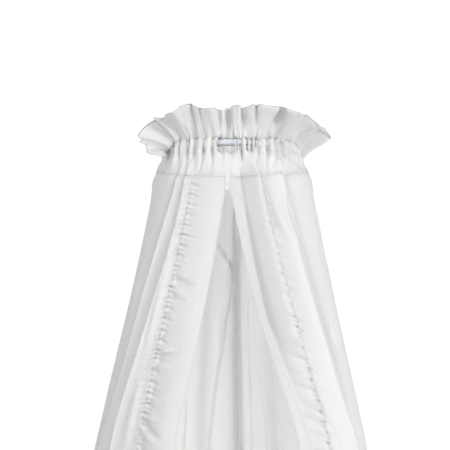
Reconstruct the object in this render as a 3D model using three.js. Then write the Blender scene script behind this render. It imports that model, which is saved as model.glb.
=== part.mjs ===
// Crib canopy on its hoop: a smooth hoop, a gathered heading (ruffle, casing and yoke in one strip of
// cloth), the tent of cloth that hangs from the yoke, and the two bands down its front edges.
// Millimetres, +Z up. The origin is the middle of the hoop's tube at the back, where a canopy pole
// holds the hoop. The front, where the canopy opens, faces -Y, and +X is to the right of someone
// who looks at the front.
//
// A bearing says where something is round the hoop: 0 at the front, 90 at the left side, 180 at the
// back, 270 at the right side and 360 at the front again, in degrees.
import * as THREE from "three";
import { mergeVertices } from "three/addons/utils/BufferGeometryUtils.js";

// Hoop
const HOOP_RADIUS = 140; // to the middle of the tube
const TUBE_RADIUS = 6;
const HOOP_STEPS = 72;
const TUBE_STEPS = 12;

// Cloth
const CLOTH = 2; // thickness of the hanging cloth
const SEAM_GAP = 0.3; // between tent and bands, which are sewn edge to edge
const YOKE_GAP = 0.6; // between the yoke's foot and the tent's gathered top edge

// Heading
const CASING_WALL = 1.8; // two layers of gathered cloth
const GATHER = 0.9; // how far the casing's gathers stand in and out
// The casing hangs on the hoop, so its lower half is this much longer than a circle and lies further out.
const CASING_HANG = { longer: 1, out: 5 };
const TUNNEL = { radius: 7.7, drop: 0.5, sides: 8 }; // inside of the casing
const SLIT = { from: 357, to: 366.3, steps: 4 }; // bearings between which the casing is open in front
const HEADING_STEPS = 104; // steps round the hoop outside the slit
// Points of the casing's outline, in degrees round the tube: 0 is outwards and 90 is up. The front ones
// are shares of the way from the ruffle's foot, which is twice half a foot wide, down to the end.
const CASING_OUTLINE = {
  halfFoot: 20,
  frontEnd: -40,
  frontShares: [0.33, 0.8],
  back: [248, 180],
  backShare: 0.6,
};
const RUFFLE_FOOT = 9.6; // from the tube's middle to the ruffle's foot
const RUFFLE_THICK = 3; // the ruffle is doubled cloth
const RUFFLE_STEPS = [0, 0.45, 1]; // from its foot to its edge
const FOOT_LEAN = 0.8; // share of its lean that the ruffle has at its foot: it curls over further out
const YOKE_TOP = { radius: 149, casing: -19, slit: -22 };
// Height of the seam under the yoke. It dips towards the front, the faster the higher the power.
const YOKE_FOOT = { side: -55, front: -73, power: 1.5 };

// Tent
const HEM = -1500;
const LEVELS = [-70, -340, -610, HEM]; // heights at which the tables below give bearings
const TENT_ROWS = [0, 0.03, 0.1, 0.2, 0.32, 0.5, 0.72, 1]; // from the seam down to the hem
const HEM_STAND = 1.8; // folds stand out this much more at the hem than at -610
const CURTAIN_SUBSTEPS = 3; // steps from one fold line to the next
const BAND_SUBSTEPS = 2;
const NORMAL_REACH = { place: 0.1, z: 5 }; // how far apart the points are that give the tent's normal

// The plain plan of the tent, without its folds: half its width, and how far it reaches to the front
// and to the back of the hoop's centre, at each height.
const PLAN = [
  { z: -18, side: 149, front: 149, back: 149 },
  { z: -45, side: 156, front: 155, back: 156 },
  { z: -72, side: 168, front: 166, back: 166 },
  { z: -110, side: 172, front: 172, back: 171 },
  { z: -240, side: 198.5, front: 193, back: 190 },
  { z: -620, side: 278, front: 258, back: 246 },
  { z: HEM, side: 466, front: 390, back: 340 },
];

// Fold lines of the tent, in order from its left front edge round the back to its right front edge.
// at: bearings at the four LEVELS. stand: how far the line stands out from the plan at the seam,
// at -340 and at -610; a groove has a minus sign.
const LEFT_BAND = [
  { line: "front edge", at: [2.5, 14, 24, 36], stand: [0, 0, 0] },
  { line: "soft rise", at: [10.5, 21, 30, 41], stand: [2, 3, 4] },
  { line: "soft hollow", at: [19.5, 29.5, 37, 47], stand: [0, -1, -1] },
  { line: "puckered seam", at: [28.5, 37.6, 43.2, 52], stand: [-2, -3, -4] },
];
const CURTAIN = [
  { line: "front edge of the pleat", at: [33, 45.2, 59.3, 66], stand: [0, 1, 2] },
  { line: "outer edge of the pleat", at: [40.4, 56.8, 72, 77], stand: [0, 1, 2] },
  { line: "left rise", at: [49, 67, 79.5, 84], stand: [3, 6, 7] },
  { line: "left side", at: [72, 82, 89, 96], stand: [-1, -1, 1] },
  { line: "left side hollow", at: [94, 98, 101, 106], stand: [-2, -8, -12] },
  { line: "back fold 1", at: [106, 109, 111, 116], stand: [3, 9, 14] },
  { line: "back hollow 1", at: [117, 120, 122, 126], stand: [-3, -9, -13] },
  { line: "back fold 2", at: [129, 132, 132, 135], stand: [3, 8, 12] },
  { line: "back hollow 2", at: [140, 142, 143, 145], stand: [-3, -7, -10] },
  { line: "back fold 3", at: [151, 153, 154, 156], stand: [2, 6, 8] },
  { line: "back hollow 3", at: [161, 162, 163, 165], stand: [-1, -3, -4] },
  { line: "back fold 4", at: [169, 169, 169, 170], stand: [1, 3, 4] },
  { line: "middle flat", at: [177, 177, 177, 177], stand: [-1, -3, -5] },
  { line: "middle fold, near side", at: [181, 181, 181, 181], stand: [-2, -8, -9] },
  { line: "middle fold, deep", at: [184.2, 184.2, 184.2, 184.2], stand: [6, 14, 16] },
  { line: "middle fold, far side", at: [189, 188.4, 188.2, 188], stand: [0, -3, -4] },
  { line: "back fold 5", at: [197, 197, 197, 196], stand: [2, 4, 5] },
  { line: "back hollow 5", at: [205, 204.5, 204, 203], stand: [-1, -4, -6] },
  { line: "back fold 6", at: [216, 215, 213, 212], stand: [2, 6, 8] },
  { line: "back hollow 6", at: [228, 226, 224, 223], stand: [-3, -9, -13] },
  { line: "back fold 7", at: [239, 237, 235, 233], stand: [3, 9, 14] },
  { line: "back hollow 7", at: [250, 248, 246, 243], stand: [-2, -8, -12] },
  { line: "back fold 8", at: [261, 259, 257, 253], stand: [3, 8, 13] },
  { line: "right side hollow", at: [271, 266, 262, 258], stand: [-1, -5, -9] },
  { line: "right side", at: [285, 278, 271, 266], stand: [7, 5, 7] },
  { line: "hollow behind the long ridge", at: [313, 297, 286, 279], stand: [-1, -8, -10] },
  { line: "long ridge", at: [323, 313.7, 300, 291], stand: [6, 13, 14] },
  { line: "valley beside the seam", at: [335.6, 323.6, 312.6, 302], stand: [-4, -10, -9] },
];
const RIGHT_BAND = [
  { line: "puckered seam", at: [338.8, 326.4, 315.4, 305], stand: [4, 4, 2] },
  { line: "ridge beside the seam", at: [343.4, 331.6, 319, 307.5], stand: [16, 20, 12] },
  { line: "hollow", at: [351.5, 338, 322.5, 310], stand: [-24, -36, -12] },
  { line: "flat", at: [357.5, 342.5, 326.5, 313], stand: [-11, -19, -2] },
  { line: "front edge", at: [362, 346, 330.5, 316], stand: [0, 0, 0] },
];
const TENT = [...LEFT_BAND, ...CURTAIN, ...RIGHT_BAND];
const LEFT_SEAM = LEFT_BAND.length - 1; // places of the two puckered seams in TENT
const RIGHT_SEAM = LEFT_BAND.length + CURTAIN.length;

// Folds of the ruffle. foot and rim: bearings where a fold line leaves the casing and where it ends at
// the ruffle's edge. lean: degrees from upright. long: from the foot to the edge. Ridges lean out more
// than the grooves between them, and the ruffle droops at the sides.
const RUFFLE_LEFT = [
  { foot: 3.5, rim: 2.5, lean: 18, long: 58 },
  { foot: 8.5, rim: 6, lean: 36, long: 64 },
  { foot: 13.5, rim: 9.7, lean: 26, long: 60 },
  { foot: 17.5, rim: 13.1, lean: 43, long: 74 },
  { foot: 21.6, rim: 19.5, lean: 27, long: 65 },
  { foot: 25, rim: 21.5, lean: 37, long: 77 },
  { foot: 28.5, rim: 25, lean: 24, long: 72 },
  { foot: 34, rim: 28.5, lean: 38, long: 85 },
  { foot: 38.6, rim: 34.1, lean: 52, long: 82 },
  { foot: 41.5, rim: 41, lean: 47, long: 65 },
  { foot: 45, rim: 43.4, lean: 60, long: 78 },
  { foot: 50.6, rim: 51.5, lean: 46, long: 68 },
  { foot: 54.5, rim: 56, lean: 80, long: 81 },
  { foot: 61, rim: 58, lean: 88, long: 73 },
  { foot: 68, rim: 61, lean: 88, long: 69 },
  { foot: 75, rim: 71, lean: 82, long: 54 },
  { foot: 84, rim: 83, lean: 54, long: 50 },
  { foot: 93, rim: 94, lean: 62, long: 52 },
];
const RUFFLE_RIGHT = [
  { foot: 266, rim: 267, lean: 42, long: 58 },
  { foot: 273, rim: 276.5, lean: 60, long: 58 },
  { foot: 279, rim: 293, lean: 84, long: 60 },
  { foot: 284, rim: 298, lean: 88, long: 64 },
  { foot: 288.5, rim: 300.5, lean: 82, long: 80 },
  { foot: 293.5, rim: 304, lean: 62, long: 72 },
  { foot: 297.5, rim: 311.5, lean: 64, long: 85 },
  { foot: 303.8, rim: 314.5, lean: 50, long: 70 },
  { foot: 309, rim: 320.5, lean: 57, long: 85 },
  { foot: 316, rim: 322.5, lean: 38, long: 72 },
  { foot: 319.5, rim: 325.2, lean: 43, long: 78 },
  { foot: 325.5, rim: 328, lean: 28, long: 66 },
  { foot: 331, rim: 333, lean: 46, long: 83 },
  { foot: 336, rim: 341.5, lean: 42, long: 84 },
  { foot: 341, rim: 344.5, lean: 25, long: 68 },
  { foot: 347.5, rim: 349.8, lean: 38, long: 80 },
  { foot: 351.9, rim: 353.8, lean: 26, long: 65 },
  { foot: 356.5, rim: 357.5, lean: 38, long: 78 },
];

// The back of the ruffle isn't designed fold by fold. Its lines alternate in and out, it droops and
// gets shorter towards the sides, and uneven says how much one line may differ from the next.
const RUFFLE_BACK = {
  from: 101,
  to: 259,
  folds: 26,
  leanIn: 12,
  leanOut: 36,
  droop: 14,
  long: 76,
  shorten: 18,
  uneven: { lean: 4, rim: 1.5, long: 3 },
};
const uneven = (index, spread) => spread * Math.sin(index * 2.4 + 0.7 * Math.sin(index * 1.7));

function ruffleBack() {
  const { from, to, folds, leanIn, leanOut, droop, long, shorten, uneven: spread } = RUFFLE_BACK;
  return Array.from({ length: folds + 1 }, (_, index) => {
    const middle = from + ((to - from) * index) / folds;
    const atSide = Math.abs(middle - 180) / 90; // 0 at the back, 1 at the sides
    return {
      foot: middle,
      rim: middle + uneven(index + 5, spread.rim),
      lean: (index % 2 ? leanOut : leanIn) + droop * atSide ** 3 + uneven(index, spread.lean),
      long: long - shorten * atSide ** 2 + uneven(index + 2, spread.long),
    };
  });
}

// The fold lines go all the way round, so the last and the first are repeated at the two ends.
const ringOf = (folds) => {
  const turned = (fold, turn) => ({ ...fold, foot: fold.foot + turn, rim: fold.rim + turn });
  return [turned(folds[folds.length - 1], -360), ...folds, turned(folds[0], 360), turned(folds[1], 360)];
};
const RUFFLE = ringOf([...RUFFLE_LEFT, ...ruffleBack(), ...RUFFLE_RIGHT]);

const radians = (degrees) => (degrees * Math.PI) / 180;
const between = (a, b, share) => a + (b - a) * share;

// A smooth curve through the values at their places, with level ends.
function smooth(places, values, place) {
  const last = places.length - 1;
  const rising = places[last] > places[0];
  const passed = (index) => (rising ? place >= places[index] : place <= places[index]);
  if (!passed(0)) return values[0];
  if (passed(last)) return values[last];
  let index = 0;
  while (passed(index + 1)) index += 1;
  const slope = (at) => {
    const low = Math.max(at - 1, 0);
    const high = Math.min(at + 1, last);
    return (values[high] - values[low]) / (places[high] - places[low]);
  };
  const span = places[index + 1] - places[index];
  const t = (place - places[index]) / span;
  return (
    (2 * t ** 3 - 3 * t ** 2 + 1) * values[index] +
    (t ** 3 - 2 * t ** 2 + t) * span * slope(index) +
    (3 * t ** 2 - 2 * t ** 3) * values[index + 1] +
    (t ** 3 - t ** 2) * span * slope(index + 1)
  );
}

// Half width and reach of the plan at a height, straight between the rows of PLAN.
function planAt(z) {
  let index = 0;
  while (index < PLAN.length - 2 && z < PLAN[index + 1].z) index += 1;
  const [above, below] = [PLAN[index], PLAN[index + 1]];
  const share = Math.min(Math.max((z - above.z) / (below.z - above.z), 0), 1);
  const read = (name) => between(above[name], below[name], share);
  return { side: read("side"), front: read("front"), back: read("back") };
}

// The point of the tent at a bearing and height that stands a distance out from the plain plan.
function tentPoint(bearing, z, stand) {
  const { side, front, back } = planAt(z);
  const forward = Math.cos(radians(bearing));
  const reach = forward > 0 ? front : back;
  return new THREE.Vector3(
    -(side + stand) * Math.sin(radians(bearing)),
    -HOOP_RADIUS - (reach + stand) * forward,
    z,
  );
}

const yokeFoot = (bearing) =>
  between(YOKE_FOOT.side, YOKE_FOOT.front, Math.max(0, Math.cos(radians(bearing))) ** YOKE_FOOT.power);

// The tent's middle surface. A place is a row of TENT, or a share of the way to the next row.
const PLACES = TENT.map((_, index) => index);

function tentAt(place, z, shift = 0) {
  const bearings = TENT.map(({ at }) => smooth(LEVELS, at, z));
  const stands = TENT.map(({ stand: [seam, knee, low] }) =>
    smooth(LEVELS, [seam, knee, low, low * HEM_STAND], z),
  );
  return tentPoint(smooth(PLACES, bearings, place) + shift, z, smooth(PLACES, stands, place));
}

function tentNormal(place, z) {
  const low = Math.max(place - NORMAL_REACH.place, 0);
  const high = Math.min(place + NORMAL_REACH.place, TENT.length - 1);
  const across = tentAt(high, z).sub(tentAt(low, z));
  const down = tentAt(place, z - NORMAL_REACH.z).sub(tentAt(place, z + NORMAL_REACH.z));
  return across.cross(down).normalize();
}

// A piece of the tent between two rows of TENT, from just below the yoke down to the hem. At a seam it
// stops half a gap short of its neighbour.
function tentPiece(from, to, substeps) {
  const columns = (to - from) * substeps + 1;
  const outside = [];
  const inside = [];
  for (let column = 0; column < columns; column += 1) {
    const place = from + column / substeps;
    const top = yokeFoot(smooth(PLACES, TENT.map(({ at }) => at[0]), place)) - YOKE_GAP;
    const shortBy = column === 0 ? 1 : column === columns - 1 ? -1 : 0;
    for (const share of TENT_ROWS) {
      const z = between(top, HEM, share);
      const shift = (shortBy * (SEAM_GAP / 2) * 180) / (Math.PI * planAt(z).front);
      const middle = tentAt(place, z, shift);
      const normal = tentNormal(place, z);
      outside.push(middle.clone().addScaledVector(normal, CLOTH / 2));
      inside.push(middle.addScaledVector(normal, -CLOTH / 2));
    }
  }
  return sheetSolid(outside, inside, columns, TENT_ROWS.length);
}

// Closes a sheet whose outside and inside are given column by column, each column from the top down.
function sheetSolid(outside, inside, columns, rows) {
  const positions = [...outside, ...inside].flatMap(({ x, y, z }) => [x, y, z]);
  const out = (column, row) => column * rows + row;
  const back = (column, row) => columns * rows + column * rows + row;
  const faces = [];
  const quad = (a, b, c, d) => faces.push(a, b, c, a, c, d);
  const [lastColumn, lastRow] = [columns - 1, rows - 1];
  for (let column = 0; column < lastColumn; column += 1) {
    const next = column + 1;
    for (let row = 0; row < lastRow; row += 1) {
      quad(out(column, row), out(next, row), out(next, row + 1), out(column, row + 1));
      quad(back(column, row), back(column, row + 1), back(next, row + 1), back(next, row));
    }
    quad(back(column, 0), back(next, 0), out(next, 0), out(column, 0));
    quad(out(column, lastRow), out(next, lastRow), back(next, lastRow), back(column, lastRow));
  }
  for (let row = 0; row < lastRow; row += 1) {
    quad(out(0, row), out(0, row + 1), back(0, row + 1), back(0, row));
    quad(back(lastColumn, row), back(lastColumn, row + 1), out(lastColumn, row + 1), out(lastColumn, row));
  }
  return closedGeometry(positions, faces);
}

function closedGeometry(positions, faces) {
  const geometry = new THREE.BufferGeometry();
  geometry.setAttribute("position", new THREE.Float32BufferAttribute(positions, 3));
  geometry.setIndex(faces);
  return geometry;
}

// The point at a bearing, a radius from the hoop's middle axis and a height.
const polar = (bearing, radius, z) =>
  new THREE.Vector3(
    -radius * Math.sin(radians(bearing)),
    -HOOP_RADIUS - radius * Math.cos(radians(bearing)),
    z,
  );

// A point of the casing round the tube: 0 degrees is outwards and 90 is up.
function casingPoint(bearing, degrees, radius) {
  const up = Math.sin(radians(degrees));
  const hang = Math.max(0, -up);
  return polar(
    bearing,
    HOOP_RADIUS + radius * Math.cos(radians(degrees)) + CASING_HANG.out * hang,
    radius * up * (1 + CASING_HANG.longer * hang) - TUNNEL.drop,
  );
}

// One cross-section of the heading. Its points run from the ruffle's edge down the outside (crown),
// down the yoke and up again (yoke), and up the inside (inner).
function headingSection(bearing, ripple, yokeTop) {
  const feet = RUFFLE.map(({ foot }) => foot);
  const read = (name) => smooth(feet, RUFFLE.map((fold) => fold[name]), bearing);
  const [rim, lean, long] = [read("rim"), read("lean"), read("long")];
  // The ruffle leaves the casing square to the tube, further round it where it leans out more.
  const footAngle = 90 - FOOT_LEAN * lean;
  const footRadius = HOOP_RADIUS + RUFFLE_FOOT * Math.cos(radians(footAngle));
  const footZ = RUFFLE_FOOT * Math.sin(radians(footAngle)) - TUNNEL.drop;
  const ruffle = RUFFLE_STEPS.map((along) => {
    const tilt = radians(lean * between(FOOT_LEAN, 1, along));
    const radius = footRadius + along * long * Math.sin(tilt);
    const z = footZ + along * long * Math.cos(tilt);
    const [aside, down] = [Math.cos(tilt), Math.sin(tilt)].map((part) => (part * RUFFLE_THICK) / 2);
    const angle = between(bearing, rim, along);
    return {
      outside: polar(angle, radius + aside, z - down),
      inside: polar(angle, radius - aside, z + down),
    };
  });
  const { halfFoot, frontEnd, frontShares, back, backShare } = CASING_OUTLINE;
  const wall = TUNNEL.radius + CASING_WALL;
  const outer = (degrees) => casingPoint(bearing, degrees, wall + ripple);
  const tunnel = Array.from({ length: TUNNEL.sides }, (_, side) =>
    casingPoint(bearing, (360 / TUNNEL.sides) * (side + 0.5), TUNNEL.radius),
  );
  return {
    ruffleOutside: ruffle.map(({ outside }) => outside).reverse(),
    front: frontShares.map((share) => outer(between(footAngle - halfFoot, frontEnd, share))),
    yoke: yokeSection(bearing, yokeTop, ripple),
    inner: [
      ...back.map((degrees) => casingPoint(bearing, degrees, wall)),
      outer(between(back[1], footAngle + halfFoot, backShare)),
      ...ruffle.map(({ inside }) => inside),
    ],
    tunnel,
  };
}

// The yoke's six points at a bearing: down its outside, then up its inside.
function yokeSection(bearing, top, ripple) {
  const foot = yokeFoot(bearing);
  const middle = between(top, foot, 0.5);
  const topPoint = (side) => polar(bearing, YOKE_TOP.radius + side + ripple, top);
  const fold = sharedStand(bearing);
  const half = CLOTH / 2;
  return [
    topPoint(half),
    tentPoint(bearing, middle, fold / 2 + half),
    tentPoint(bearing, foot, fold + half),
    tentPoint(bearing, foot, fold - half),
    tentPoint(bearing, middle, fold / 2 - half),
    topPoint(-half),
  ];
}

// How far the tent's top edge stands out at a bearing, so that the yoke's foot meets it.
function sharedStand(bearing) {
  const wrapped = bearing < TENT[0].at[0] ? bearing + 360 : bearing;
  return smooth(TENT.map(({ at }) => at[0]), TENT.map(({ stand }) => stand[0]), wrapped);
}

// The whole heading. Round most of the hoop its cross-section is closed about the tunnel. In the slit the
// casing has no front wall, so the tunnel's own wall takes the place of the two points in front.
function headingSolid() {
  const positions = [];
  const faces = [];
  const add = (points) => points.map(({ x, y, z }) => positions.push(x, y, z) / 3 - 1);
  const quad = (a, b, c, d) => faces.push(a, b, c, a, c, d);
  const join = (near, far) => {
    near.forEach((point, index) => {
      const next = (index + 1) % near.length;
      quad(point, far[index], far[next], near[next]);
    });
  };
  const number = (section) =>
    Object.fromEntries(Object.entries(section).map(([name, points]) => [name, add(points)]));
  const closedLoop = ({ ruffleOutside, front, yoke, inner }) => [
    ...ruffleOutside,
    ...front,
    ...yoke,
    ...inner,
  ];
  const openLoop = ({ ruffleOutside, tunnel, yoke, inner }) => [
    ...ruffleOutside,
    ...tunnel.slice(1, 7),
    ...yoke,
    ...inner,
  ];

  const start = SLIT.to - 360;
  const sections = Array.from({ length: HEADING_STEPS + 1 }, (_, step) => {
    const bearing = between(start, SLIT.from, step / HEADING_STEPS);
    return headingSection(bearing, step % 2 ? GATHER : -GATHER, YOKE_TOP.casing);
  });
  const numbered = sections.map(number);
  numbered.slice(1).forEach((section, index) => {
    join(closedLoop(numbered[index]), closedLoop(section));
    join(numbered[index].tunnel, section.tunnel);
  });

  const inSlit = Array.from({ length: SLIT.steps - 1 }, (_, step) =>
    number(headingSection(between(SLIT.from, SLIT.to, (step + 1) / SLIT.steps), 0, YOKE_TOP.slit)),
  );
  const [first, last] = [numbered[0], numbered[HEADING_STEPS]];
  const across = [last, ...inSlit, first].map(openLoop);
  across.slice(1).forEach((loop, index) => join(across[index], loop));

  // Each end of the casing's front wall is capped between the outside and the tunnel.
  const cap = (section, points, flip) => {
    const wallOf = ({ ruffleOutside, front, yoke, tunnel }) => [
      ruffleOutside[2],
      ...front,
      yoke[0],
      ...tunnel.slice(6),
      ...tunnel.slice(0, 2),
    ];
    const corners = wallOf(points);
    const flat = wallOf(section).map(
      ({ x, y, z }) => new THREE.Vector2(Math.hypot(x, y + HOOP_RADIUS), z),
    );
    for (const [a, b, c] of THREE.ShapeUtils.triangulateShape(flat, [])) {
      if (flip) faces.push(corners[a], corners[c], corners[b]);
      else faces.push(corners[a], corners[b], corners[c]);
    }
  };
  cap(sections[0], first, true);
  cap(sections[HEADING_STEPS], last, false);
  return closedGeometry(positions, faces);
}

const cotton = new THREE.MeshStandardMaterial({ color: 0xf4f5f4, roughness: 0.9, metalness: 0 });
const plastic = new THREE.MeshStandardMaterial({ color: 0xe9edf3, roughness: 0.35, metalness: 0 });

function hoopGeometry() {
  const torus = new THREE.TorusGeometry(HOOP_RADIUS, TUBE_RADIUS, TUBE_STEPS, HOOP_STEPS);
  torus.deleteAttribute("normal");
  torus.deleteAttribute("uv");
  return mergeVertices(torus, 1e-3).translate(0, -HOOP_RADIUS, 0);
}

function named(name, geometry, material) {
  const mesh = new THREE.Mesh(geometry, material);
  mesh.name = name;
  return mesh;
}

const canopy = new THREE.Group();
canopy.add(
  named("hoop", hoopGeometry(), plastic),
  named("heading", headingSolid(), cotton),
  named("curtain", tentPiece(LEFT_SEAM, RIGHT_SEAM, CURTAIN_SUBSTEPS), cotton),
  named("front_band_left", tentPiece(0, LEFT_SEAM, BAND_SUBSTEPS), cotton),
  named("front_band_right", tentPiece(RIGHT_SEAM, TENT.length - 1, BAND_SUBSTEPS), cotton),
);

export default canopy;
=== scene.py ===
# %% [markdown]
# # A crib canopy in white cotton
#
# This lesson dresses a plain CAD model of a crib canopy as real cloth. The canopy hangs from a hoop. At
# the top a ruffle stands up around the hoop, under it comes a gathered casing that the hoop runs through,
# then a plain yoke. From the yoke's seam the tent of cloth hangs down, open at the front, where a band is
# sewn to each of its two front edges.
#
# Everything is worked out in millimetres, in the frame of the CAD model, and turned to metres as each
# mesh is made. +Z is up, the front faces -Y, and the origin is the middle of the hoop's tube at the back.
# A bearing says where something is round the hoop: 0 at the front, 90 at the left side, 180 at the back
# and 270 at the right side, in degrees.

import math

import bpy
import numpy as np
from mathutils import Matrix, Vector, noise


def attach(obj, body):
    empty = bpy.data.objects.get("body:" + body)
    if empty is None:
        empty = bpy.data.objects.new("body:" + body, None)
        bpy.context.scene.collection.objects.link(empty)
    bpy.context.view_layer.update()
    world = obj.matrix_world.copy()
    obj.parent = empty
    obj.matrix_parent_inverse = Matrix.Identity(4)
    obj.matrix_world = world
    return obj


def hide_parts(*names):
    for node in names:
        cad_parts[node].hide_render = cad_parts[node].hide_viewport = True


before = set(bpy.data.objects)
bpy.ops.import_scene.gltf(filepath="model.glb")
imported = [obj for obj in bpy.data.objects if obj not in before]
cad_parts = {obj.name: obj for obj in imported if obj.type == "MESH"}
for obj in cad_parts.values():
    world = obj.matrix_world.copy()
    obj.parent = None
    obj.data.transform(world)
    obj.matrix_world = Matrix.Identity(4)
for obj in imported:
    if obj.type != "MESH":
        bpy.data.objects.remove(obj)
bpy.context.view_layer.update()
MM = 0.001
print("CAD nodes:", sorted(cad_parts))

# %% [markdown]
# ## The camera
#
# The canopy is seen from straight in front, from a little below its hoop and from far away, through a
# long lens. A long lens keeps upright things upright and makes the near and the far cloth nearly the same
# size. The camera could be shifted to keep the hoop in place, but tilting it up by two degrees does the
# same and keeps the other views simple.

# %% Make the camera
HOOP_RADIUS = 140.0  # to the middle of the tube
CAMERA_AWAY = 3000.0  # in front of the middle of the hoop
CAMERA_BELOW = 270.0  # lower than the hoop
CAMERA_ASIDE = -12.4
CAMERA_TILT = 2.01  # degrees upwards
LENS = 112.6  # mm, on a sensor 36 mm wide

camera_data = bpy.data.cameras.new("camera")
camera_data.lens = LENS
camera_data.sensor_width = 36.0
camera = bpy.data.objects.new("camera", camera_data)
bpy.context.scene.collection.objects.link(camera)
camera.location = Vector((CAMERA_ASIDE, -HOOP_RADIUS - CAMERA_AWAY, -CAMERA_BELOW)) * MM
camera.rotation_euler = (math.radians(90.0 + CAMERA_TILT), 0.0, 0.0)
bpy.context.scene.camera = camera
print("camera at", [round(c, 3) for c in camera.location])

# %% [markdown]
# ## Curves through a few values
#
# Nearly every shape here is a smooth curve through a few values in a table: how far a fold stands out at
# three heights, or how far the ruffle leans at each of its folds. Splines from Blender's curve objects
# would work, but a small function on NumPy arrays gives all the points of a mesh at once. It is a cubic
# Hermite curve, whose slope at each value is that of the line from the value before to the value after.


# %% A smooth curve through values
def through(places, values, at):
    """values has a row for each place. A second axis gives each point of `at` its own values."""
    at = np.atleast_1d(np.asarray(at, dtype=float))
    places = np.asarray(places, dtype=float)
    values = np.asarray(values, dtype=float)
    if values.ndim == 1:
        values = np.repeat(values[:, None], at.size, axis=1)
    if places[-1] < places[0]:
        places, at = -places, -at
    last = len(places) - 1
    here = np.clip(at, places[0], places[-1])
    index = np.clip(np.searchsorted(places, here, side="right") - 1, 0, last - 1)
    before = np.maximum(np.arange(last + 1) - 1, 0)
    after = np.minimum(np.arange(last + 1) + 1, last)
    slopes = (values[after] - values[before]) / (places[after] - places[before])[:, None]
    column = np.arange(at.size)
    span = places[index + 1] - places[index]
    t = (here - places[index]) / span
    return (
        (2 * t**3 - 3 * t**2 + 1) * values[index, column]
        + (t**3 - 2 * t**2 + t) * span * slopes[index, column]
        + (3 * t**2 - 2 * t**3) * values[index + 1, column]
        + (t**3 - t**2) * span * slopes[index + 1, column]
    )


def between(a, b, share):
    return a + (b - a) * share


def ease(low, high, value):
    """0 up to low, 1 from high on, and smooth in between."""
    t = np.clip((value - low) / (high - low), 0.0, 1.0)
    return t * t * (3 - 2 * t)


def bell(away, wide):
    """1 in the middle, and less on both sides of it."""
    return np.exp(-((away / wide) ** 2))


print("halfway through 0, 1, 0:", through([0, 1, 2], [0, 1, 0], 0.5)[0])

# %% [markdown]
# ## The plan of the tent and its folds
#
# A hanging tent of cloth has a plain plan, an oval that grows from the hoop to the hem, and folds that
# stand out from it or lie in. Each fold line has a bearing at four heights, because folds fan out and
# lean on their way down, and a stand at three heights. The CAD model was made from tables like these, so
# the tent's cloth lies within 10 mm of the CAD solids. Only the deep fold in the middle of the back and the
# cloth beside it lie further away, up to 22 mm.

# %% Tables of the tent
HEM = -1500.0
LEVELS = [-70, -340, -610, HEM]
HEM_STAND = 1.8  # folds stand out this much more at the hem than at -610
PLAN_Z = [-18, -45, -72, -110, -240, -620, HEM]
PLAN_SIDE = [149, 156, 168, 172, 198.5, 278, 466]
PLAN_FRONT = [149, 155, 166, 172, 193, 258, 390]
PLAN_BACK = [149, 156, 166, 171, 190, 246, 340]

LEFT_BAND = [
    # line, bearings at LEVELS, stand at the seam, at -340 and at -610
    ("front edge", [2.5, 14, 24, 36], [0, 0, 0]),
    ("soft rise", [10.5, 21, 30, 41], [2, 3, 4]),
    ("soft hollow", [19.5, 29.5, 37, 47], [0, -1, -1]),
    ("puckered seam", [28.5, 37.6, 43.2, 52], [-2, -3, -4]),
]
CURTAIN = [
    ("front edge of the pleat", [33, 45.2, 59.3, 66], [0, 1, 2]),
    ("outer edge of the pleat", [40.4, 56.8, 72, 77], [0, 1, 2]),
    ("left rise", [49, 67, 79.5, 84], [3, 6, 7]),
    ("left side", [72, 82, 89, 96], [-1, -1, 1]),
    ("left side hollow", [94, 98, 101, 106], [-2, -8, -12]),
    ("back fold 1", [106, 109, 111, 116], [3, 9, 14]),
    ("back hollow 1", [117, 120, 122, 126], [-3, -9, -13]),
    ("back fold 2", [129, 132, 132, 135], [3, 8, 12]),
    ("back hollow 2", [140, 142, 143, 145], [-3, -7, -10]),
    ("back fold 3", [151, 153, 154, 156], [2, 6, 8]),
    ("back hollow 3", [161, 162, 163, 165], [-1, -3, -4]),
    ("back fold 4", [169, 169, 169, 170], [1, 3, 4]),
    ("middle flat", [177, 177, 177, 177], [-1, -3, -5]),
    ("middle fold, near side", [181.6, 181.8, 181.8, 182], [-2, -11, -14]),
    ("middle fold, deep", [184, 183.9, 183.9, 184], [8, 24, 28]),
    ("middle fold, far side", [188.5, 186.8, 186.6, 186.6], [0, -4, -6]),
    ("back fold 5", [197, 197, 197, 196], [2, 4, 5]),
    ("back hollow 5", [205, 204.5, 204, 203], [-1, -4, -6]),
    ("back fold 6", [216, 215, 213, 212], [2, 6, 8]),
    ("back hollow 6", [228, 226, 224, 223], [-3, -9, -13]),
    ("back fold 7", [239, 237, 235, 233], [3, 9, 14]),
    ("back hollow 7", [250, 248, 246, 243], [-2, -8, -12]),
    ("back fold 8", [261, 259, 257, 253], [3, 8, 13]),
    ("right side hollow", [271, 266, 262, 258], [-1, -5, -9]),
    ("right side", [285, 278, 271, 266], [7, 5, 7]),
    ("hollow behind the long ridge", [313, 297, 286, 279], [-1, -8, -10]),
    ("long ridge", [323, 313.7, 300, 291], [6, 13, 14]),
    ("valley beside the seam", [335.6, 323.6, 312.6, 302], [-4, -10, -9]),
]
RIGHT_BAND = [
    ("puckered seam", [338.8, 326.4, 315.4, 305], [4, 4, 2]),
    ("ridge beside the seam", [343.4, 331.6, 319, 307.5], [16, 20, 12]),
    ("hollow", [351.5, 338, 322.5, 310], [-25, -35, -5]),
    ("flat", [357.5, 342.5, 326.5, 313], [-11, -18, 0]),
    ("front edge", [362, 346, 330.5, 316], [0, 0, 0]),
]
TENT = LEFT_BAND + CURTAIN + RIGHT_BAND
PLACES = np.arange(len(TENT))
LEFT_SEAM = len(LEFT_BAND) - 1
RIGHT_SEAM = len(LEFT_BAND) + len(CURTAIN)
YOKE_SIDE, YOKE_FRONT, YOKE_POWER = -55.0, -73.0, 1.5  # height of the yoke's seam
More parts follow.
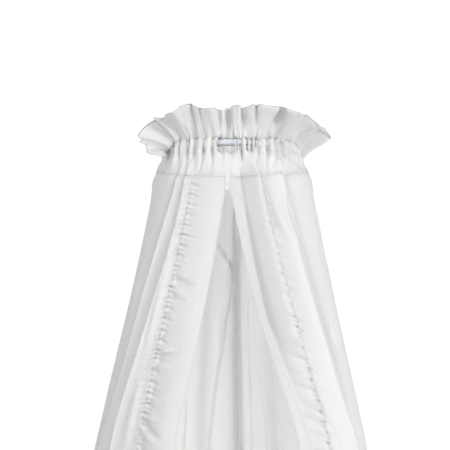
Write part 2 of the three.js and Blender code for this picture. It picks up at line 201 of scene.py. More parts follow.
print(len(TENT), "fold lines, seams at", LEFT_SEAM, "and", RIGHT_SEAM)


# %% Where the tables put a point
def plan(z):
    return [np.interp(-z, [-level for level in PLAN_Z], row) for row in (PLAN_SIDE, PLAN_FRONT, PLAN_BACK)]


def yoke_seam(bearing):
    """Height of the seam under the yoke. It dips towards the front."""
    forward = np.maximum(0.0, np.cos(np.radians(bearing)))
    return between(YOKE_SIDE, YOKE_FRONT, forward**YOKE_POWER)


def tent_lines(z):
    """Bearing and stand of every fold line at each height of z, a row for each line."""
    bearings = np.stack([through(LEVELS, at, z) for _, at, _ in TENT])
    stands = np.stack([through(LEVELS, [*stand, stand[2] * HEM_STAND], z) for _, _, stand in TENT])
    return bearings, stands


def tent_xyz(bearing, z, stand):
    side, front, back = plan(z)
    forward = np.cos(np.radians(bearing))
    reach = np.where(forward > 0, front, back)
    x = -(side + stand) * np.sin(np.radians(bearing))
    y = -HOOP_RADIUS - (reach + stand) * forward
    return np.stack([x, y, np.broadcast_to(z, x.shape)], axis=-1)


front_edge = tent_xyz(np.array([LEFT_BAND[0][1][2]]), np.array([LEVELS[2]]), 0.0)[0]
print("the left front edge at", LEVELS[2], "is at", front_edge.round())

# %% [markdown]
# ## Building a sheet of cloth
#
# A sheet starts as its middle surface: columns of points that run down the cloth. Fine puckers need
# small steps, but only along the seams, so a column may have six times as many points as the others, and
# the cells between a coarse and a fine column simply have more corners. The Solidify modifier then gives
# the cloth its thickness and closes its edges, and its result is kept as a plain mesh.


# %% Turn columns of points into cloth
def link(name, mesh):
    piece = bpy.data.objects.new(name, mesh)
    bpy.context.scene.collection.objects.link(piece)
    return piece


def finished(name, source):
    """The evaluated result of an object as a plain mesh of its own, without modifiers."""
    depsgraph = bpy.context.evaluated_depsgraph_get()
    mesh = bpy.data.meshes.new_from_object(source.evaluated_get(depsgraph))
    bpy.data.objects.remove(source)
    mesh.name = name
    return link(name, mesh)


def cells(start, sizes, closed=False):
    """Faces between columns of points. start gives each column's first point, sizes how many it has."""
    faces = []
    pairs = list(zip(range(len(sizes) - 1), range(1, len(sizes))))
    if closed:
        pairs.append((len(sizes) - 1, 0))
    for here, there in pairs:
        steps = min(sizes[here], sizes[there]) - 1
        near, far = (sizes[here] - 1) // steps, (sizes[there] - 1) // steps
        for step in range(steps):
            across = [start[there] + step * far + i for i in range(far + 1)]
            back = [start[here] + step * near + i for i in range(near, -1, -1)]
            faces.append([start[here] + step * near, *across, *back[:-1]])
    return faces


def cloth(name, columns, uvs, thickness, material, closed=False, drop=None):
    """columns and uvs are lists of arrays, a column each, in millimetres."""
    sizes = [len(column) for column in columns]
    start = np.concatenate([[0], np.cumsum(sizes)[:-1]]).astype(int)
    faces = cells(list(start), sizes, closed)
    if drop is not None:
        faces = [face for face in faces if not drop(face)]
    mesh = bpy.data.meshes.new(name)
    mesh.from_pydata((np.concatenate(columns) * MM).tolist(), [], faces)
    flat = np.concatenate(uvs) * MM
    loops = np.empty(len(mesh.loops), dtype=int)
    mesh.loops.foreach_get("vertex_index", loops)
    mesh.uv_layers.new(name="cut").data.foreach_set("uv", flat[loops].ravel())
    mesh.materials.append(material)
    mesh.shade_smooth()
    sheet = link(name, mesh)
    solid = sheet.modifiers.new("thickness", "SOLIDIFY")
    solid.thickness = thickness * MM
    solid.offset = 0.0
    piece = finished(name, sheet)
    piece.data.shade_smooth()
    print(name, "has", sum(len(face.vertices) - 2 for face in piece.data.polygons), "triangles")
    return piece


# %% [markdown]
# ## Cotton
#
# Thin white cotton is matt, its light goes partly through, and close up it has a plain weave. The weave
# is made of two sets of waves along the cut of the cloth, which is kept as a UV map in metres, and it
# feeds a bump. A second, softer bump of noise gives the crumpled look between the folds. The light that
# passes through comes from a Translucent BSDF mixed with the Principled one, so the edge of a sheet
# glows a little where only one layer lies in front of the light.


# %% Node helpers
def new_material(name):
    material = bpy.data.materials.new(name)
    material.use_nodes = True
    material.node_tree.nodes.clear()
    return material, material.node_tree


def add(tree, kind, inputs=None, **settings):
    """Adds a node. An input gets its value, or a link where the value is another node's output."""
    node = tree.nodes.new(kind)
    for setting, value in settings.items():
        setattr(node, setting, value)
    for name, value in (inputs or {}).items():
        if isinstance(value, bpy.types.NodeSocket):
            tree.links.new(value, node.inputs[name])
        else:
            node.inputs[name].default_value = value
    return node


def maths(tree, operation, *numbers):
    return add(tree, "ShaderNodeMath", dict(enumerate(numbers)), operation=operation).outputs[0]


# %% The weave, as a node group that any cloth here can use
def weave_group():
    tree = bpy.data.node_groups.new("plain weave", "ShaderNodeTree")
    for name, low in (("Threads per metre", 1400.0), ("Depth", 0.0001), ("Crumple", 0.0006)):
        socket = tree.interface.new_socket(name, in_out="INPUT", socket_type="NodeSocketFloat")
        socket.default_value = low
    for name in ("Tint", "Height"):
        tree.interface.new_socket(name, in_out="OUTPUT", socket_type="NodeSocketFloat")
    given = add(tree, "NodeGroupInput").outputs
    uv = add(tree, "ShaderNodeUVMap", uv_map="cut")
    split = add(tree, "ShaderNodeSeparateXYZ", {0: uv.outputs["UV"]})
    threads = []
    for axis in ("X", "Y"):
        turns = maths(tree, "MULTIPLY", split.outputs[axis], given["Threads per metre"])
        threads.append(maths(tree, "SINE", maths(tree, "MULTIPLY", turns, math.pi)))
    crossed = maths(tree, "MULTIPLY", *threads)
    place = add(tree, "ShaderNodeTexCoord").outputs["Object"]
    soft = add(tree, "ShaderNodeTexNoise", {"Vector": place, "Scale": 22.0, "Detail": 4.0, "Roughness": 0.6})
    slub = add(tree, "ShaderNodeTexNoise", {"Vector": place, "Scale": 300.0})
    crumple = maths(tree, "MULTIPLY", soft.outputs["Fac"], given["Crumple"])
    depth = maths(tree, "MULTIPLY", crossed, given["Depth"])
    height = maths(tree, "ADD", crumple, depth)
    add(tree, "NodeGroupOutput", {"Height": height, "Tint": slub.outputs["Fac"]})
    return tree


WEAVE = weave_group()


# %% Cotton cloth
def cotton(name, colour, shaded, sheer, crumple):
    """colour and shaded are the thread's lightest and darkest tone, sheer the share of light let through."""
    material, tree = new_material(name)
    weave = add(tree, "ShaderNodeGroup", {"Crumple": crumple}, node_tree=WEAVE).outputs
    tones = {"Factor": weave["Tint"], "A": (*shaded, 1.0), "B": (*colour, 1.0)}
    tone = add(tree, "ShaderNodeMix", tones, data_type="RGBA").outputs["Result"]
    bump = add(tree, "ShaderNodeBump", {"Strength": 1.0, "Distance": 1.0, "Height": weave["Height"]})
    normal = bump.outputs["Normal"]
    finish = {"Roughness": 0.9, "Specular IOR Level": 0.25, "Sheen Weight": 0.15, "Sheen Roughness": 0.6}
    matt = add(tree, "ShaderNodeBsdfPrincipled", {"Base Color": tone, "Normal": normal, **finish})
    through_light = add(tree, "ShaderNodeBsdfTranslucent", {"Color": tone, "Normal": normal})
    mix = add(tree, "ShaderNodeMixShader", {"Fac": sheer, 1: matt.outputs[0], 2: through_light.outputs[0]})
    add(tree, "ShaderNodeOutputMaterial", {"Surface": mix.outputs[0]})
    return material


COTTON = cotton("white cotton", (0.95, 0.95, 0.948), (0.92, 0.92, 0.916), 0.38, 0.0010)
THREAD = cotton("sewing thread", (0.86, 0.865, 0.86), (0.8, 0.805, 0.8), 0.1, 0.0)

# %% [markdown]
# ## The curtain
#
# The curtain is the large part of the tent, from the seam of the left band round the back to the seam of
# the right band. Its folds come from the tables. On top of them lie details that only cloth has: sharp
# edges along the pleat, puckers where the cloth was eased into the seams, gathers under the yoke, and
# faint uneven waves. Each is a function that says how far the cloth stands out more, in millimetres.

# %% Lines drawn on the cloth
def drawn(lines, bearing, z, side):
    """Folds along lines of their own: how far they stand out at a column's points, in millimetres.

    A line's bearings and stands go with its heights. Its kind is soft, sharp, up or down: up is a step
    that stands out where the bearing is greater than the line's, down one where it is less.
    """
    stand = np.zeros(z.size)
    for _, heights, bearings, stands, wide, kind in lines:
        away = np.radians(bearing - through(heights, bearings, z)) * side
        out = through(heights, stands, z)
        if kind == "soft":
            shape = bell(away, wide)
        elif kind == "sharp":
            shape = np.exp(-np.abs(away) / wide)
        else:
            ahead = away if kind == "up" else -away
            shape = ease(-1.6, 1.6, ahead) * np.exp(-np.maximum(ahead, 0.0) / wide)
            shape -= 0.22 * bell(ahead + 3.0, 2.0)  # the cloth below is held in a little
        stand += out * shape
    return stand


LEFT_LINES = [
    # name, heights, bearings, stands out, wide, kind
    ("front edge of the pleat", [-60, -200, -403, -607, HEM],
     [32.9, 38.2, 49.4, 59.2, 66], [6, 9, 10, 10, 9], 11, "down"),
    ("outer edge of the pleat", [-60, -200, -302, -508, -614, HEM],
     [40, 48.8, 54.6, 65.2, 72, 77], [6, 9, 10, 10, 10, 9], 12, "down"),
    ("beside the seam", [-220, -300, -380, -450], [37.5, 40.5, 44, 47], [0, 4, 4, 0], 7, "soft"),
    ("low beside the seam", [-470, -520, -580, -640], [47, 48, 50, 51], [0, 5, 5, 0], 8, "soft"),
    ("faint line", [-180, -300, -420], [60, 63, 68], [0, 3, 0], 6, "soft"),
]
MIDDLE_LINES = [
    ("above the middle fold", [-128, -192, -242, -276],
     [181.8, 183.1, 183.6, 183.6], [0, 12, 18, 0], 9, "up"),
    ("middle fold's edge", [-250, -300, -535, HEM],
     [182.8, 182.9, 182.7, 182.8], [0, -8, -9, -9], 11, "down"),
    ("left swag", [-185, -215, -250, -285, -310],
     [168.5, 173.5, 180.5, 183.5, 185], [0, -10, -14, -12, 0], 24, "down"),
    ("groove", [-270, -351, -420, -501, -628, -900],
     [182.6, 178.6, 176.4, 173.3, 170.8, 168], [0, 10, 11, 10, 9, 8], 22, "up"),
    ("ridge", [-290, -397, -466, -560], [174.9, 173.8, 173.4, 172.1], [0, -5, -5, 0], 5, "soft"),
    ("second line", [-285, -340, -420, -535, HEM],
     [190.8, 190.4, 190.1, 190.2, 189.6], [0, 6, 7, 7, 6], 12, "up"),
    ("third line", [-430, -470, -670, HEM], [193.8, 194.8, 197, 197], [0, 4, 5, 5], 11, "up"),
    ("fourth line", [-420, -470, -650, HEM], [202, 203, 203.4, 203], [0, 5, 6, 6], 11, "up"),
    ("tapered fold", [-270, -330, -454], [196.5, 196, 193], [0, -6, 0], 9, "soft"),
    ("far left line", [-540, -600, HEM], [157.5, 158.6, 160], [0, 6, 6], 8, "up"),
]
RIGHT_LINES = [
    ("long ridge", [-62, -200, -302, -403, -505, -608, HEM],
     [323, 319.5, 315.2, 310.7, 306, 300, 291], [2, 3, 3.5, 3.5, 4, 4, 4], 6, "sharp"),
    ("drape from the yoke", [-70, -120, -164, -194, -215],
     [336.4, 331.6, 327.3, 321.3, 316], [5, 9, 9, 6, 0], 10, "soft"),
    ("under the drape", [-100, -150, -200], [323, 319, 314.5], [0, -6, 0], 9, "soft"),
    ("dent", [-370, -400, -430], [291, 289, 287], [0, -6, 0], 9, "soft"),
    ("fold beyond the seam", [-470, -495, -624, -820], [320, 318.4, 308.1, 300], [0, 5, 6, 0], 6, "sharp"),
]
print(len(LEFT_LINES + MIDDLE_LINES + RIGHT_LINES), "drawn lines on the curtain")


# %% Puckers along a seam
def waves(x, y, scale_x, scale_y, seed):
    """Soft noise from -1 to 1, whose waves are about scale_x by scale_y millimetres."""
    return np.array(
        [noise.noise(Vector((u / scale_x, v / scale_y, seed))) for u, v in zip(x.ravel(), y.ravel())]
    ).reshape(x.shape)


def puckers(away, z, seed, reach, height, period, slope):
    """Short puffs between narrow grooves that start at a seam. away is the distance from the seam."""
    out = np.abs(away)
    drift = waves(z, z * 0, 60.0, 1.0, seed) * 9.0 + waves(z, z * 0, 17.0, 1.0, seed + 3) * 2.5
    phase = (z + drift + slope * away) * (math.pi / period)
    strong = 0.9 + 0.55 * waves(z, z * 0, 26.0, 1.0, seed + 5)
    long = reach * (0.6 + 0.5 * strong)
    puff = 2.0 * np.sqrt(np.abs(np.sin(phase))) - 1.2
    return height * strong * puff * np.exp(-((out / long) ** 1.6))


AT_SEAM = 3.4  # height of the puckers on the stitches, where two sheets meet


def puckered(away, z, seed, height, slope, reach=26.0):
    """Small sharp puckers close to the stitches, and longer soft ones between them."""
    height = between(AT_SEAM, height, ease(0.0, 7.0, np.abs(away)))
    small = puckers(away, z, seed, reach=11.0, height=height, period=10.5, slope=slope)
    return small + puckers(away, z, seed + 40.0, reach=reach, height=0.8 * height, period=21.0, slope=slope)


def off_seam(away):
    """0 on a seam and 1 away from it: what a sheet has of its own doesn't open the seam."""
    return 1.0 - bell(away, 9.0)


def seam_dip(away, deep, wide):
    return -deep * bell(away, wide)


# %% Lay out columns and rows
ROWS = 104
FINE = 6  # rows along the seams are this many times finer
SEAM_COLUMNS = 11
CRISP = [37.6, 45.2, 56.8, 159, 178.9, 183.6, 190.4, 194.2, 202.5, 313.7, 326.4, 339.5]  # bearings at -340
LOOKED_AT = [(14, 100), (147, 217), (262, 347)]  # bearings that show from the front
COLUMN_LEVEL, COLUMN_RADIUS = -340.0, 222  # where the columns are laid out, and the tent's radius there
CLOSE, LOOSE = 3.0, 7.5  # spacing of the columns, in millimetres, where they show and elsewhere
CLOSEST, OPENING = 1.1, 0.12  # spacing at a crisp fold, and how fast it grows beside the fold
TUCK = 7.0  # how far the cloth goes up behind the yoke
CLOTH_ROUND = 2600.0  # width of the whole tent on the cut, which sets the size of the weave
TENT_THICK = BAND_THICK = 0.9


def row_shares(rows):
    """Shares of the way down: the rows lie closer together near the top."""
    t = np.linspace(0.0, 1.0, rows + 1)
    return 0.5 * t + 0.5 * t**2


def columns_between(first, last):
    """Places of the columns from one fold line to another. They lie closer together at crisp folds."""
    bearings, _ = tent_lines(np.array([COLUMN_LEVEL]))
    fine_places = np.linspace(first, last, 4000)
    fine_bearings = through(PLACES, bearings[:, 0], fine_places)
    chosen = [fine_bearings[0]]
    while chosen[-1] < fine_bearings[-1]:
        here = chosen[-1]
        coarse = CLOSE if any(low < here < high for low, high in LOOKED_AT) else LOOSE
        nearest = min(abs(here - line) for line in CRISP) * math.pi / 180 * COLUMN_RADIUS
        chosen.append(here + math.degrees(min(coarse, CLOSEST + OPENING * nearest) / COLUMN_RADIUS))
    chosen[-1] = fine_bearings[-1]
    return [float(place) for place in np.interp(chosen, fine_bearings, fine_places)]


def tent_points(place, shares, detail):
    """A column's points and their places on the cut. detail adds to the stand."""
    at_seam = np.array([at[0] for _, at, _ in TENT], dtype=float)
    top = yoke_seam(through(PLACES, at_seam, place)[0]) + TUCK
    z = between(top, HEM, shares)
    bearings, stands = tent_lines(z)
    places = np.full(z.size, place)
    bearing = through(PLACES, bearings, places)
    stand = through(PLACES, stands, places)
    side = plan(z)[0]

    def away(line):
        """Distance along the cloth from a fold line, in millimetres."""
        return np.radians(bearing - bearings[line]) * side

    stand = stand + detail(away, z, bearing, side) * ease(-4.0, 12.0, top - TUCK - z)
    width = np.full(z.size, place * CLOTH_ROUND / len(TENT))
    return tent_xyz(bearing, z, stand), np.stack([width, z], axis=-1)


def right_height(z):
    """The right seam's puckers are weak under the yoke and strong further down."""
    return 1.5 + 4.5 * ease(-120.0, -230.0, z) + 3.0 * ease(-230.0, -420.0, z)


# %% Make the curtain
def curtain_detail(away, z, bearing, side):
    below = np.maximum(0.0, -70.0 - z)  # how far down from the yoke
    left, right = away(LEFT_SEAM), away(RIGHT_SEAM)
    around = np.radians(bearing) * 200.0
    gathered = np.clip(-np.cos(np.radians(bearing)) * 2.0 + 0.6, 0.1, 1.0)
    own = drawn(LEFT_LINES + MIDDLE_LINES + RIGHT_LINES, bearing, z, side)
    own += gathered * 2.0 * np.exp(-below / 70.0) * np.sin(around * 0.55 + 2.0 * np.sin(around * 0.083))
    own += 0.9 * waves(around, z, 45.0, 190.0, 20.0) * ease(0.0, 200.0, below)
    own += 0.35 * waves(around, z, 16.0, 60.0, 24.0)
    stand = own * off_seam(left) * off_seam(right)
    stand += puckered(left, z, 1.0, 3.2, 0.3) + seam_dip(left, 2.2, 2.5)
    stand += puckered(right, z, 11.0, right_height(z), -0.3, reach=17.0)
    return stand + seam_dip(right, 2.0, 2.5)


def tent_sheet(name, first, last, detail, thickness, fine_seams):
    places = columns_between(first, last)
    columns, uvs = [], []
    for index, place in enumerate(places):
        from_edge = min(index, len(places) - 1 - index)
        rows = ROWS * FINE if (not fine_seams or from_edge < SEAM_COLUMNS) else ROWS
        shares = row_shares(ROWS)
        if rows != ROWS:
            shares = np.interp(np.arange(rows + 1) / FINE, np.arange(ROWS + 1), shares)
        points, flat = tent_points(place, shares, detail)
        columns.append(points)
        uvs.append(flat)
    print(name, "has", len(places), "columns")
    return cloth(name, columns, uvs, thickness, COTTON), columns


curtain, curtain_columns = tent_sheet(
    "curtain_cloth", LEFT_SEAM, RIGHT_SEAM, curtain_detail, TENT_THICK, True
)

# %% [markdown]
# ## The two front bands
#
# A band is a strip sewn along each front edge. The cloth was eased into its seam, so the seam is
# puckered, and a few longer creases start there.

# %% Make the bands
LEFT_CREASES = [
    # height where it leaves the seam, length, slope, depth: millimetres
    (-236, 40, 0.2, 2.5),
    (-262, 56, 0.1, 4.0),
    (-278, 66, 0.25, -5.5),
    (-294, 60, 0.45, 4.5),
    (-352, 44, -0.1, 3.0),
    (-424, 60, 0.0, 5.0),
    (-442, 70, -0.35, -5.5),
    (-458, 60, -0.2, 4.5),
    (-500, 44, 0.2, -3.0),
    (-552, 64, 0.15, 5.0),
    (-570, 72, 0.4, -6.0),
    (-586, 60, 0.3, 4.5),
    (-618, 66, 0.45, -5.5),
    (-640, 60, 0.3, 4.5),
    (-700, 60, 0.2, 4.0),
    (-760, 70, 0.3, -5.0),
    (-850, 60, 0.3, 4.5),
    (-930, 70, 0.2, -5.0),
    (-1040, 60, 0.3, 4.5),
    (-1120, 70, 0.35, -5.0),
    (-1230, 60, 0.3, 4.5),
    (-1310, 70, 0.25, -5.0),
    (-1420, 60, 0.2, 4.0),
]
RIGHT_CREASES = [
    (-300, 30, -0.3, 3.5),
    (-322, 32, -0.2, -4.0),
    (-352, 34, -0.3, 4.5),
    (-385, 38, -0.3, -5.0),
    (-408, 40, -0.4, 5.0),
    (-446, 44, -0.5, -5.0),
    (-470, 46, -0.5, 5.5),
    (-512, 48, -0.6, -5.5),
    (-538, 50, -0.7, 5.5),
    (-576, 54, -0.7, -6.5),
    (-600, 54, -0.8, 6.5),
    (-640, 54, -0.6, -5.5),
    (-720, 50, 0.3, 4.0),
    (-800, 56, 0.3, -4.5),
    (-900, 50, 0.3, 4.0),
    (-1010, 56, 0.3, -4.5),
    (-1120, 50, 0.3, 4.0),
    (-1230, 56, 0.25, -4.5),
    (-1350, 50, 0.3, 4.0),
]


def long_creases(table, away, z):
    """Creases that run from a seam into the band; away is positive on the band."""
    stand = 0.0
    for start, long, slope, depth in table:
        across = z - (start - slope * away)
        along = ease(0.0, 6.0, away) * (1.0 - ease(0.4 * long, long, away))
        stand = stand + depth * along * bell(across, 6.5)
    return stand


BAND_LINES = [
    ("diagonal crease", [-250, -365, -421, -471, -512, -545],
     [348, 337.2, 330.3, 323.3, 318.9, 317.5], [0, -5, -8, -8, -5, 0], 10, "sharp"),
]


def left_band_detail(away, z, bearing, side):
    inward = -away(LEFT_SEAM)
    own = long_creases(LEFT_CREASES, inward, z) + seam_dip(inward, 6.0, 13.0)
    own += 0.9 * waves(inward, z, 38.0, 80.0, 31.0)
    stand = own * off_seam(inward) + puckered(inward, z, 1.0, 3.9, 0.3, reach=21.0)
    return stand + seam_dip(inward, 2.2, 2.5)


def right_band_detail(away, z, bearing, side):
    inward = away(RIGHT_SEAM)
    own = long_creases(RIGHT_CREASES, inward, z) + drawn(BAND_LINES, bearing, z, side)
    own += 0.7 * waves(inward, z, 38.0, 80.0, 41.0)
    stand = own * off_seam(inward) + seam_dip(inward, 2.0, 2.5)
    return stand + puckered(inward, z, 11.0, 1.1 * right_height(z), -0.3, reach=16.0)


left_band, left_columns = tent_sheet(
    "front_band_left_cloth", 0, LEFT_SEAM, left_band_detail, BAND_THICK, False
)
right_band, right_columns = tent_sheet(
    "front_band_right_cloth", RIGHT_SEAM, len(TENT) - 1, right_band_detail, BAND_THICK, False
)

# %% [markdown]
# ## The heading: ruffle, casing and yoke
#
# One strip of cloth makes the whole top. It is folded double, the fold is the ruffle's edge, and both
# layers are sewn together above and below the hoop. The tunnel between those two rows of stitches is the
# casing that the hoop runs through. Below it only the outer layer goes on, as the yoke.
#
# So the strip is one sheet whose cross-section goes from the inner layer's hem, up behind the hoop, over
# the ruffle's edge, down in front of the hoop and on to the yoke's seam. The sections stand round the
# hoop, and the folds of the ruffle come from tables: the bearings where a fold leaves the casing and where
# it ends, how far it leans out in degrees, how long it is, and how far its middle sags in millimetres. A
# last table has creases that bend both layers. The CAD model's ruffle has fewer fold lines, and at the right
# side the cloth lies up to 46 mm from it.

# %% Tables of the ruffle
RUFFLE_LEFT = [
    # foot, rim, lean, long, sag
    (1, 0.5, 10, 60, 0),
    (3.5, 3, 8, 58, 0),
    (6.5, 5, 32, 62, 0),
    (10, 7.5, 36, 65, 0),
    (13.5, 9.5, 25, 60, 0),
    (17.5, 13, 42, 74, 0),
    (21.5, 21, 30, 66, 0),
    (25, 21.5, 38, 76, 0),
    (28.5, 26.5, 27, 74, 0),
    (32, 27, 34, 80, 0),
    (36, 30, 44, 86, 0),
    (38.5, 34, 54, 84, 0),
    (41, 46, 46, 58, 0),
    (45, 47, 58, 80, 4),
    (50, 55.5, 45, 58, 10),
    (52.5, 57, 82, 80, 10),
    (54, 57.5, 86, 66, 12),
    (56, 58, 90, 72, 14),
    (57.5, 57.5, 94, 56, 16),
    (59, 55.5, 100, 64, 14),
    (60, 57, 108, 60, 12),
    (61, 57.5, 118, 45, 12),
    (61.5, 58.5, 130, 30, 10),
    (62.5, 58, 155, 20, 6),
    (64, 60.5, 155, 15, 5),
    (67, 64, 130, 20, 5),
    (73, 70, 92, 35, 5),
    (80, 79, 66, 46, 0),
    (87, 87, 46, 46, 0),
    (94, 95, 58, 50, 0),
]
RUFFLE_RIGHT = [
    # foot, rim, lean, long, sag
    (266, 265, 36, 50, 0),
    (271, 293.5, 24, 60, 0),
    (276, 294, 40, 60, 4),
    (280.5, 294, 58, 64, 14),
    (284, 288.5, 72, 68, 22),
    (287, 292, 84, 74, 30),
    (290.5, 294.5, 64, 56, 16),
    (293.5, 302, 64, 68, 12),
    (297.5, 306.5, 55, 70, 8),
    (302.5, 311.5, 48, 70, 4),
    (307, 319.5, 50, 80, 2),
    (310.5, 326, 52, 86, 0),
    (314, 328.5, 52, 90, 0),
    (323, 330, 25, 66, 0),
    (330.5, 336, 22, 64, 0),
    (333, 331.5, 48, 86, 0),
    (335.5, 340, 44, 86, 0),
    (337.5, 343.5, 38, 80, 0),
    (340.5, 343, 28, 70, 0),
    (347, 349, 35, 78, 0),
    (350.5, 352.5, 34, 74, 0),
    (352, 353, 22, 64, 0),
    (355, 355.5, 35, 75, 0),
    (357.5, 358.5, 36, 74, 0),
]
RUFFLE_CREASES = [
    # bearing at the casing, bearing at the edge, depth in millimetres
    (308, 310, 3.0),
    (300, 292, 3.5),
    (304, 300, 1.5),
    (296, 285, 2.0),
    (42, 38, 1.5),
    (48, 52, 1.5),
]


def ruffle_back():
    """The folds at the back alternate in and out, a little unevenly, and are shorter at the sides."""

    def uneven(index, spread):
        return spread * math.sin(index * 2.4 + 0.7 * math.sin(index * 1.7))

    folds = []
    for index in range(27):
        middle = 101 + 158 * index / 26
        at_side = abs(middle - 180) / 90
        lean = (36 if index % 2 else 12) + 14 * at_side**3 + uneven(index, 4)
        long = 76 - 18 * at_side**2 + uneven(index + 2, 3)
        folds.append((middle, middle + uneven(index + 5, 1.5), lean, long, 0.0))
    return folds


folds = np.array(RUFFLE_LEFT + ruffle_back() + RUFFLE_RIGHT, dtype=float)
TURN = np.array([360.0, 360.0, 0.0, 0.0, 0.0])
RUFFLE = np.concatenate([folds[-3:] - TURN, folds, folds[:3] + TURN])
print(len(folds), "fold lines round the ruffle")

# %% [markdown]
# A fold of crisp cotton is round where it stands out and sharp where it lies in. So between two lines
# of the table the lean mostly follows a quarter of a sine wave, flat at the line that stands out and
# steep at the one that lies in.
#
# Where a strip is gathered onto stitches, it also has small folds of its own. They are strongest at the
# stitches and die out into the ruffle and the yoke. Their places and sizes vary, from sines of the fold's
# number, so the result is the same each time the script is run.


# %% Crisp folds and small gathers
def crisp(lines, values, at):
    index = min(max(int(np.searchsorted(lines, at, side="right")) - 1, 0), len(lines) - 2)
    t = (at - lines[index]) / (lines[index + 1] - lines[index])
    here, there = values[index], values[index + 1]
    share = math.sin(t * math.pi / 2) if there > here else 1.0 - math.cos(t * math.pi / 2)
    return between(here, there, between(share, t, 0.35))


GATHERS = 98
gather_number = np.arange(-3, GATHERS + 4)
gather_bearing = gather_number * 360.0 / GATHERS + 1.5 * np.sin((gather_number % GATHERS) * 2.4)
gather_size = np.where(gather_number % 2, 1.0, -1.0) * (1 + 0.5 * np.sin((gather_number % GATHERS) * 1.9 + 1))


def gathers(bearing):
    """How far the small folds stand out: round outwards, sharp and not so deep inwards."""
    size = through(gather_bearing, gather_size, np.mod(bearing, 360.0))
    return np.where(size > 0, 1.5 * np.abs(size) ** 0.7, -np.abs(size) ** 1.4)


YOKE_LINES = [
    # name, heights, bearings, stands out, wide, kind
    ("to the pleat's outer edge", [-18, -46, -75], [39.7, 39.9, 40.3], [2.5, 3, 3], 7, "down"),
    ("to the pleat's front edge", [-18, -45, -75], [26.5, 32.3, 33.3], [2.5, 3, 3], 7, "down"),
    ("beside the flat", [-18, -44, -75], [20.5, 21.5, 24], [3, 3, 2], 7, "down"),
    ("flat's edge", [-18, -75], [5.5, 5], [1, 1], 6, "up"),
    ("ridge right of the flat", [-15, -45, -72], [355.4, 352.7, 349.5], [4, 4.5, 2], 5, "soft"),
    ("ridge to the right band", [-15, -44, -75], [348.3, 345, 341.8], [4, 4.5, 3], 5, "soft"),
    ("hollow beside it", [-28, -55, -75], [343, 340.2, 337.5], [-3, -3.5, -2], 4, "soft"),
    ("ridge over the seam", [-18, -75], [336.1, 336.6], [3.5, 2], 4, "soft"),
    ("slanting ridge", [-18, -44, -66], [328.1, 321, 316.6], [5, 7, 4.5], 4, "soft"),
    ("pocket", [-36, -52, -70], [323.5, 325, 325.5], [-1, -6, -5], 7, "soft"),
    ("long slanting ridge", [-18, -38, -58], [316.7, 306.5, 295.6], [5, 7, 3], 5, "soft"),
    ("left slanting ridge", [-18, -40, -62], [47, 50, 54], [3, 3, 1], 6, "soft"),
]

# %% The strip's cross-section
TUBE_RADIUS = 6.0
FOOT_LEAN = 0.8
FOOT_OUT = 9.6
SLIT = (-3.0, 8.6)  # bearings where the outer layer is open at the front
STITCH_ROW = (149.3, -18.5)  # radius and height of the lower row


def polar(bearing, radius, z):
    angle = np.radians(bearing)
    return np.stack([-radius * np.sin(angle), -HOOP_RADIUS - radius * np.cos(angle), z], axis=-1)


def casing(degrees, radius):
    """Radius and height of a point round the tube; the casing hangs, so its lower half is longer."""
    up = math.sin(math.radians(degrees))
    hang = max(0.0, -up)
    return (
        HOOP_RADIUS + radius * math.cos(math.radians(degrees)) + 5 * hang,
        radius * up * (1 + hang) - 0.5,
    )


# Shares of the way from the ruffle's foot to its edge, and how far apart the two layers are there.
ALONG = [0.0, 0.08, 0.2, 0.35, 0.5, 0.65, 0.8, 0.9, 0.96, 0.99]
LAYERS = [1.4, 1.8, 2.4, 3.0, 3.4, 3.4, 3.0, 2.6, 2.0, 1.2]


